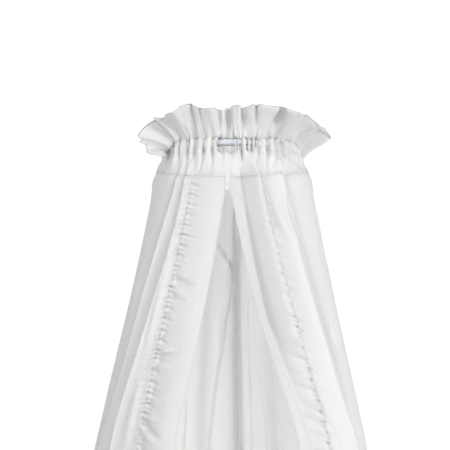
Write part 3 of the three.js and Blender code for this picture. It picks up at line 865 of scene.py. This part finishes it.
def section(bearing):
    """Rows of (bearing, radius, height, gather strength) from the inner hem to the yoke's seam.

    Also says how many rows the inner layer has.
    """
    lean = crisp(RUFFLE[:, 0], RUFFLE[:, 2], bearing)
    long = crisp(RUFFLE[:, 0], RUFFLE[:, 3], bearing)
    rim = through(RUFFLE[:, 0], RUFFLE[:, 1], bearing)[0]
    sag = through(RUFFLE[:, 0], RUFFLE[:, 4], bearing)[0]
    foot = 90 - FOOT_LEAN * lean
    foot_r = HOOP_RADIUS + FOOT_OUT * math.cos(math.radians(foot))
    foot_z = FOOT_OUT * math.sin(math.radians(foot)) - 0.5

    def ruffle(share, gap):
        tilt = math.radians(lean * between(FOOT_LEAN, 1, share))
        r = foot_r + share * long * math.sin(tilt) + gap / 2 * math.cos(tilt)
        z = foot_z + share * long * math.cos(tilt) - gap / 2 * math.sin(tilt)
        falls = math.sin(math.pi / 2 * share / 0.1) if share < 0.1 else ((1 - share) / 0.9) ** 0.75
        z -= sag * falls
        return between(bearing, rim, share), r, z

    inner = [(bearing, STITCH_ROW[0] - 1.2, STITCH_ROW[1], -2.0)]
    for degrees, strength in ((238, -0.5), (205, 0.3), (170, 0.3), (between(170, foot + 12, 0.5), 0.6)):
        inner.append((bearing, *casing(degrees, 8.3), strength))
    for share, gap in zip(ALONG, LAYERS):
        inner.append((*ruffle(share, -gap), 1.7 * math.exp(-share / 0.25) + 0.15))
    edge = [(*ruffle(1.0, 0.0), 0.2)]
    outer = []
    for share, gap in zip(reversed(ALONG), reversed(LAYERS)):
        outer.append((*ruffle(share, gap), 1.7 * math.exp(-share / 0.25) + 0.15))
    for share, strength in ((0.0, 1.9), (0.25, 1.5), (0.5, 1.0), (0.8, 1.5), (1.0, 1.9)):
        outer.append((bearing, *casing(between(foot - 12, -50, share), 9.4), strength))
    outer.append((bearing, *STITCH_ROW, 2.2))
    seam_z = yoke_seam(bearing)
    at_seam = np.array([at[0] for _, at, _ in TENT], dtype=float)
    wrapped = bearing if bearing >= at_seam[0] else bearing + 360
    fold = through(at_seam, [stand[0] for _, _, stand in TENT], wrapped)[0]
    for share, strength in ((0.12, 1.6), (0.35, 0.7), (0.65, 0.35), (1.0, 0.1)):
        z = between(STITCH_ROW[1], seam_z, share)
        point = tent_xyz(np.array([bearing]), np.array([z]), fold * share + 0.9 * share + 0.3)[0]
        outer.append((bearing, math.hypot(point[0], point[1] + HOOP_RADIUS), z, strength))
    return np.array(inner + edge + outer), len(inner)


# %% Make the heading
# Bearings of the slit's two edges at the outer layer's stations, from the ruffle's edge to the casing's foot.
SLIT_AT = [0.0, 0.5, 0.8, 1.0]  # rim, above the foot, casing, lower stitches
SLIT_LEFT = [5.6, 6.8, 10.8, 10.5]
SLIT_RIGHT = [-0.9, -2.0, -3.4, -3.9]
BARE = [(351.9, 356.1), (349.1, 351.2), (346.0, 347.9), (343.1, 345.1), (339.8, 342.3)]  # hoop shows here too
INNER_ROWS = 26
RUFFLE_ROWS, CASING_ROWS, YOKE_ROWS = 18, 10, 12  # rows of the outer layer
RIM_ROW = INNER_ROWS - 1
INNER_FOOT_ROW = 9  # rows of the inner layer below the ruffle
FOOT_ROW, STITCH_AT = RIM_ROW + RUFFLE_ROWS, RIM_ROW + RUFFLE_ROWS + CASING_ROWS
SLIT_COLUMNS = 21
GATHERED, UNEVEN, PINCHED, CRUMPLED = 2.0, 0.7, 2.2, 3.2  # heights of the small folds, by kind
TUBE_CLEAR = 7.2  # least distance from the middle of the tube to the middle of the cloth
WAIST_BEARING, WAIST_DEPTH = 90.0, 9.0  # the yoke is drawn in at the left side
YOKE_RADIUS = 156.0
STACKED_STEP, FRONT_STEP, BACK_STEP = 0.38, 0.52, 0.8  # degrees from column to column
HEADING_THICK = 0.7


def drawn_aside(bearing, turned, at, rim_stop, stitch_stop):
    """Bearings of a column's points after the outer layer is drawn aside at the slit."""
    share = np.clip((at - rim_stop) / (stitch_stop - rim_stop), 0.0, 1.0)
    hold = 1.0 - ease(stitch_stop, stitch_stop + 14.0, at)
    for edge, targets in ((SLIT[1], SLIT_LEFT), (SLIT[0], SLIT_RIGHT)):
        near = 1.0 - ease(0.0, 12.0, abs(bearing - edge)) if (bearing >= edge) == (edge > 0) else 0.0
        pull = through(SLIT_AT, targets, share) - turned
        turned = turned + np.where(at > rim_stop, near * hold * pull, 0.0)
    return turned


def heading_column(bearing):
    """A column's points from the inner hem to the yoke's seam, and their places on the cut."""
    stations, inner = section(bearing)
    stops = np.concatenate([[0.0], np.cumsum(np.hypot(*np.diff(stations[:, 1:3], axis=0).T))])
    rim_stop, foot_stop, stitch_stop = stops[inner], stops[inner + len(ALONG)], stops[-5]
    marks = [0.0, stops[inner - len(ALONG)], rim_stop, foot_stop, stitch_stop, stops[-1]]
    counts = [INNER_FOOT_ROW, INNER_ROWS - 1 - INNER_FOOT_ROW, RUFFLE_ROWS, CASING_ROWS, YOKE_ROWS]
    spans = [np.linspace(a, b, n + 1)[1:] for a, b, n in zip(marks, marks[1:], counts)]
    at = np.concatenate([[0.0], *spans])
    turned, radius, z, strength = (through(stops, stations[:, row], at) for row in range(4))
    outside = at > rim_stop
    turned = drawn_aside(bearing, turned, at, rim_stop, stitch_stop)
    slope_r, slope_z = np.gradient(radius, at), np.gradient(z, at)
    size = np.hypot(slope_r, slope_z)
    deeper = 1.0 + 0.7 * ease(285.0, 297.0, bearing % 360) * (1.0 - ease(336.0, 345.0, bearing % 360))
    ripple = GATHERED * deeper * strength * gathers(turned)
    ripple += UNEVEN * waves(turned * 2.6, at, 17.0, 40.0, 51.0) * ease(0.0, 30.0, np.abs(at - foot_stop))
    pinched = bell(at - stitch_stop, 9.0) + 0.7 * bell(at - foot_stop, 8.0)
    ripple += PINCHED * pinched * waves(turned * 2.6, at, 5.5, 200.0, 57.0)
    # creases of the ruffle's own bend both its layers the same way
    inner_foot = marks[1]
    outer_up = (foot_stop - at) / (foot_stop - rim_stop)
    inner_up = (at - inner_foot) / (rim_stop - inner_foot)
    up = np.where(outside, outer_up, inner_up)
    for low, high, deep in RUFFLE_CREASES:
        beside = np.radians(np.mod(turned, 360.0) - between(low, high, up)) * radius
        dent = deep * np.exp(-np.abs(beside) / 4.5) * ease(0.0, 0.2, up)
        ripple += np.where(outside, -dent, dent)
    crumpled = ease(foot_stop - 12.0, foot_stop, at) * (1.0 - ease(stitch_stop, stitch_stop + 10.0, at))
    ripple += CRUMPLED * deeper * crumpled * waves(turned * 2.6, at, 8.0, 7.0, 61.0)
    radius = radius - ripple * slope_z / size
    z = z + ripple * slope_r / size
    # the cloth stays clear of the hoop's tube
    away = np.hypot(radius - HOOP_RADIUS, z)
    push = np.maximum(away, TUBE_CLEAR) / np.maximum(away, 0.1)
    radius, z = HOOP_RADIUS + (radius - HOOP_RADIUS) * push, z * push
    waist = bell(turned - WAIST_BEARING, 22.0) * (1.0 - ease(-17.0, -9.0, z)) * ease(-44.0, -22.0, z)
    radius = radius - WAIST_DEPTH * waist
    yoke = drawn(YOKE_LINES, np.mod(turned, 360.0), z, np.full(z.size, YOKE_RADIUS))
    radius = radius + yoke * ease(foot_stop, stitch_stop, at)
    return polar(turned, radius, z), np.stack([np.full(at.size, bearing * 5.0), at], axis=-1)


def heading_bearings():
    """Bearings of the columns outside the slit. They lie closest where the ruffle is folded in a stack."""
    chosen = [SLIT[1]]
    while chosen[-1] < SLIT[0] + 360:
        here = chosen[-1]
        stacked = 49 < here < 72 or 275 < here < 305
        elsewhere = FRONT_STEP if (here < 100 or here > 260) else BACK_STEP
        chosen.append(here + (STACKED_STEP if stacked else elsewhere))
    return chosen[:-1]


slit_bearings = list(np.linspace(*SLIT, SLIT_COLUMNS))
bearings = [*slit_bearings, *heading_bearings()[1:]]
bearings = [bearing - 360 if bearing > 345 else bearing for bearing in bearings]
heading_columns = [heading_column(bearing) for bearing in bearings]
per_column = len(heading_columns[0][0])


def open_there(face):
    """True in the slit, and in the narrow openings beside it where the hoop shows between gathers."""
    columns = {vertex // per_column for vertex in face}
    rows = [vertex % per_column for vertex in face]
    if max(columns) < SLIT_COLUMNS:
        return min(rows) >= RIM_ROW and max(rows) <= STITCH_AT + 1
    middle = sum(bearings[column] for column in columns) / len(columns) % 360
    beside = any(low < middle < high for low, high in BARE) and max(columns) - min(columns) == 1
    return beside and min(rows) >= FOOT_ROW and max(rows) <= STITCH_AT


heading = cloth(
    "heading_cloth",
    [points for points, _ in heading_columns],
    [flat for _, flat in heading_columns],
    HEADING_THICK,
    COTTON,
    closed=True,
    drop=open_there,
)
print("heading has", len(bearings), "columns of", per_column, "points")

# %% [markdown]
# ## The hoop
#
# The hoop is a smooth plastic tube. A torus follows a rule, so Geometry Nodes make it: one circle for the
# ring, one for the tube's section, and Curve to Mesh to sweep the second along the first.

# %% Hoop plastic
def plastic():
    material, tree = new_material("hoop plastic")
    place = add(tree, "ShaderNodeTexCoord").outputs["Object"]
    speck = add(tree, "ShaderNodeTexNoise", {"Vector": place, "Scale": 90.0}).outputs["Fac"]
    tones = {"Factor": speck, "A": (0.58, 0.60, 0.65, 1.0), "B": (0.64, 0.66, 0.71, 1.0)}
    tone = add(tree, "ShaderNodeMix", tones, data_type="RGBA").outputs["Result"]
    bump = add(tree, "ShaderNodeBump", {"Distance": 0.0001, "Height": speck}).outputs["Normal"]
    shell = add(tree, "ShaderNodeBsdfPrincipled", {"Roughness": 0.35, "Base Color": tone, "Normal": bump})
    add(tree, "ShaderNodeOutputMaterial", {"Surface": shell.outputs[0]})
    return material


PLASTIC = plastic()


# %% A tree for a round hoop of tube
def tree_inputs(tree, *sizes):
    """Adds inputs for some sizes and for the finish, and one output. Returns the inputs' identifiers."""
    kinds = {**dict.fromkeys(sizes, "NodeSocketFloat"), "Finish": "NodeSocketMaterial"}
    found = {}
    for name, kind in kinds.items():
        found[name] = tree.interface.new_socket(name, in_out="INPUT", socket_type=kind).identifier
    tree.interface.new_socket("Geometry", in_out="OUTPUT", socket_type="NodeSocketGeometry")
    return found


def hand_out(tree, geometry, finish):
    """Makes instances real, smooths and paints them, and ends the tree."""
    real = add(tree, "GeometryNodeRealizeInstances", {"Geometry": geometry})
    smooth = add(tree, "GeometryNodeSetShadeSmooth", {"Geometry": real.outputs["Geometry"]})
    given = {"Geometry": smooth.outputs["Geometry"], "Material": finish}
    paint = add(tree, "GeometryNodeSetMaterial", given)
    add(tree, "NodeGroupOutput", {0: paint.outputs["Geometry"]})


def hoop_tree():
    tree = bpy.data.node_groups.new("hoop of tube", "GeometryNodeTree")
    ids = tree_inputs(tree, "Ring radius", "Tube radius")
    given = add(tree, "NodeGroupInput").outputs
    rounds = []
    for steps, radius in ((160, "Ring radius"), (24, "Tube radius")):
        circle = {"Resolution": steps, "Radius": given[radius]}
        rounds.append(add(tree, "GeometryNodeCurvePrimitiveCircle", circle).outputs["Curve"])
    sweep = add(tree, "GeometryNodeCurveToMesh", {"Curve": rounds[0], "Profile Curve": rounds[1]})
    hand_out(tree, sweep.outputs["Mesh"], given["Finish"])
    return tree, ids


def grown(name, source, tree, ids, values):
    """Runs a tree on an object and keeps the result as a plain mesh."""
    modifier = source.modifiers.new("grown", "NODES")
    modifier.node_group = tree
    for key, value in values.items():
        modifier[ids[key]] = value
    return finished(name, source)


tree, ids = hoop_tree()
hoop_values = {"Ring radius": HOOP_RADIUS * MM, "Tube radius": TUBE_RADIUS * MM, "Finish": PLASTIC}
hoop = grown("hoop_tube", link("hoop_start", bpy.data.meshes.new("hoop_start")), tree, ids, hoop_values)
for vertex in hoop.data.vertices:
    vertex.co.y -= HOOP_RADIUS * MM
print("hoop has", len(hoop.data.polygons), "faces")

# %% [markdown]
# ## The lap and the stitches
#
# At the top of the opening a narrow strip laps over both front edges and the yoke, and a bar tack holds
# it. All the sewing is done by one tree. It takes lines that run over the cloth, places a short piece of
# thread every few millimetres, and turns each along its line. The lines are lifted off the middle of the
# cloth by a little more than half its thickness, along its own normal, so they follow every pucker.

# %% The lap
LAP_TOP, LAP_BOTTOM, LAP_ROWS = -49.0, -99.0, 41
LAP_THICK = 0.8
TACK_AT = -87.0  # height of the bar tack
LAP_BEARINGS = [4.4, 4.1, 3.6, 2.9, 2.2, 1.7, 1.4]
LAP_STANDS = [0.7, 1.2, 1.5, 1.6, 1.5, 1.2, 0.7]  # round across its width
lap_columns, lap_uvs = [], []
for bearing, stand in zip(LAP_BEARINGS, LAP_STANDS):
    z = np.linspace(LAP_TOP, LAP_BOTTOM, LAP_ROWS)
    held = 1.3 * bell(z - TACK_AT, 5.0)
    drift = 0.5 * np.sin(z / 9.0)
    lap_columns.append(tent_xyz(np.full(LAP_ROWS, bearing) + drift * 0.2, z, stand - held + 0.5))
    lap_uvs.append(np.stack([np.full(LAP_ROWS, bearing * 2.9), z], axis=-1))
lap = cloth("lap_strip", lap_columns, lap_uvs, LAP_THICK, COTTON)


# %% Lines of stitches over the cloth
def grid_normals(grid):
    """Unit normals of a grid of points, which point away from the middle of the canopy."""
    normal = np.cross(np.gradient(grid, axis=0), np.gradient(grid, axis=1))
    normal /= np.linalg.norm(normal, axis=-1, keepdims=True)
    outward = grid - np.array([0.0, -HOOP_RADIUS, 0.0])
    outward[..., 2] = 0.0
    return normal * np.sign(np.sum(normal * outward, axis=-1, keepdims=True))


def level_line(columns, z, lift):
    """A line round the tent at one height."""
    points = []
    for column in columns:
        rising = column[::-1]
        points.append([*(np.interp(z, rising[:, 2], rising[:, axis]) for axis in (0, 1)), z])
    line = np.array(points)
    out = line - np.array([0.0, -HOOP_RADIUS, z])
    return line + lift * out / np.linalg.norm(out, axis=1, keepdims=True)


LIFT, HEADING_LIFT = 0.55, 0.45  # from the middle of the cloth to the middle of a stitch
HEM_ROW = HEM + 22.0
sewn = []  # lines, in millimetres
for band, seam_side in ((left_columns, -1), (right_columns, 0)):
    grid = np.stack(band)
    lifted = grid + LIFT * grid_normals(grid)
    step = 1 if seam_side == 0 else -1
    sewn.append(lifted[seam_side + step * 2])  # beside the seam
    sewn.append(lifted[(-1 if seam_side == 0 else 0) - step * 2])  # beside the front edge
    sewn.append(level_line(band, HEM_ROW, LIFT))
for first, step in ((0, 1), (len(curtain_columns) - 1, -1)):
    grid = np.stack([curtain_columns[first + step * i] for i in range(4)])
    sewn.append((grid + LIFT * grid_normals(grid))[2])
sewn.append(level_line(curtain_columns, HEM_ROW, LIFT))

heading_grid = np.stack([points for points, _ in heading_columns])
heading_lifted = heading_grid + HEADING_LIFT * grid_normals(heading_grid)
whole = heading_lifted[SLIT_COLUMNS:]  # all but the slit
sewn.append(whole[:, STITCH_AT + 1])
sewn.append(whole[:, FOOT_ROW])
for share in (0.5, 1.4):  # rows above the yoke's seam
    low_row = int(share)
    ring = between(heading_lifted[:, -1 - low_row], heading_lifted[:, -2 - low_row], share - low_row)
    sewn.append(np.concatenate([ring, ring[:1]]))
tack = []
for turn in range(9):  # a bar tack goes to and fro
    tack.append([1.5 if turn % 2 else 4.2, -86.0 - turn * 0.35])
tack = np.array(tack)
sewn.append(tent_xyz(tack[:, 0], tack[:, 1], np.full(len(tack), 2.6)))
print(len(sewn), "lines of stitches")


# %% A tree that sews
def sewing_tree():
    tree = bpy.data.node_groups.new("row of stitches", "GeometryNodeTree")
    tree.interface.new_socket("Lines", in_out="INPUT", socket_type="NodeSocketGeometry")
    ids = tree_inputs(tree, "Pitch", "Stitch length", "Thread radius")
    given = add(tree, "NodeGroupInput").outputs
    curve = add(tree, "GeometryNodeMeshToCurve", {"Mesh": given["Lines"]}).outputs["Curve"]
    steps = {"Curve": curve, "Length": given["Pitch"]}
    spread = add(tree, "GeometryNodeCurveToPoints", steps, mode="LENGTH").outputs
    bead = add(tree, "GeometryNodeMeshIcoSphere", {"Radius": 1.0, "Subdivisions": 1}).outputs["Mesh"]
    half = maths(tree, "MULTIPLY", given["Stitch length"], 0.5)
    thread = given["Thread radius"]
    size = add(tree, "ShaderNodeCombineXYZ", {"X": thread, "Y": thread, "Z": half}).outputs[0]
    sewn = {"Points": spread["Points"], "Instance": bead, "Rotation": spread["Rotation"], "Scale": size}
    place = add(tree, "GeometryNodeInstanceOnPoints", sewn)
    hand_out(tree, place.outputs["Instances"], given["Finish"])
    return tree, ids


def line_mesh(name, lines):
    vertices, edges = [], []
    for line in lines:
        first = len(vertices)
        vertices.extend((line * MM).tolist())
        edges.extend((first + i, first + i + 1) for i in range(len(line) - 1))
    mesh = bpy.data.meshes.new(name)
    mesh.from_pydata(vertices, edges, [])
    return link(name, mesh)


tree, ids = sewing_tree()
stitch_values = {"Pitch": 4.2 * MM, "Stitch length": 3.4 * MM, "Thread radius": 0.32 * MM, "Finish": THREAD}
stitches = grown("stitches", line_mesh("stitch_lines", sewn), tree, ids, stitch_values)
print("stitches:", len(stitches.data.polygons) // 20, "of 20 faces each")

# %% [markdown]
# ## Floor and light
#
# The canopy hangs in front of plain white. The floor is a pale disc under the hem, below what the
# camera sees. The background is pure white to the camera but dimmer as a light, or it would wash out the
# folds. A soft lamp stands to the right in front, and weaker ones to the left and low down. A strong one
# behind the canopy shines through the cloth, so seen from behind the cloth is very bright.

# %% Floor
def disc(name, radius, z, sides=96):
    turns = [2 * math.pi * i / sides for i in range(sides)]
    rim = [(radius * math.sin(turn), radius * math.cos(turn), z) for turn in turns]
    mesh = bpy.data.meshes.new(name)
    mesh.from_pydata(rim, [], [list(range(sides))[::-1]])
    return link(name, mesh)


floor = disc("floor", 3.6, -1.56)
floor_paint, tree = new_material("floor paint")
paint = add(tree, "ShaderNodeBsdfPrincipled", {"Base Color": (0.6, 0.6, 0.6, 1.0), "Roughness": 0.9})
add(tree, "ShaderNodeOutputMaterial", {"Surface": paint.outputs[0]})
floor.data.materials.append(floor_paint)


# %% Lights
def lamp(name, place, size, power):
    """A square soft lamp at a place in metres, turned to the upper part of the canopy."""
    data = bpy.data.lights.new(name, "AREA")
    data.shape = "SQUARE"
    data.size = size
    data.energy = power
    light = bpy.data.objects.new(name, data)
    bpy.context.scene.collection.objects.link(light)
    light.location = place
    light.rotation_euler = (Vector(TOWARDS) - Vector(place)).to_track_quat("-Z", "Y").to_euler()


TOWARDS = (0.0, -0.14, -0.3)
lamp("key", (1.4, -2.2, 0.7), 0.7, 31.0)
lamp("left fill", (-1.7, -1.7, 0.6), 0.9, 21.0)
lamp("low fill", (1.0, -2.2, -0.9), 1.2, 17.0)
lamp("back", (0.6, 3.1, 0.0), 1.5, 200.0)

world = bpy.data.worlds.new("white studio")
bpy.context.scene.world = world
world.use_nodes = True
tree = world.node_tree
tree.nodes.clear()
WHITE = (1.0, 1.0, 1.0, 1.0)
seen = add(tree, "ShaderNodeBackground", {"Color": WHITE, "Strength": 1.05}).outputs[0]
given_off = add(tree, "ShaderNodeBackground", {"Color": WHITE, "Strength": 0.41}).outputs[0]
by_camera = add(tree, "ShaderNodeLightPath").outputs["Is Camera Ray"]
choose = add(tree, "ShaderNodeMixShader", {"Fac": by_camera, 1: given_off, 2: seen})
add(tree, "ShaderNodeOutputWorld", {"Surface": choose.outputs[0]})
bpy.context.scene.view_settings.view_transform = "Standard"

# %% [markdown]
# ## The pieces on the body
#
# Every piece rides on the one body there is. Five pieces stand for the CAD solids they were made around,
# which are hidden; the lap and the stitches have none.

# %% Ride and replace
for piece, node, kind in (
    (curtain, "curtain", "cotton_cloth"),
    (left_band, "front_band_left", "cotton_cloth"),
    (right_band, "front_band_right", "cotton_cloth"),
    (heading, "heading", "cotton_cloth"),
    (hoop, "hoop", "hoop_plastic"),
    (lap, None, "cotton_cloth"),
    (stitches, None, "cotton_cloth"),
):
    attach(piece, "root")
    if node:
        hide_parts(node)
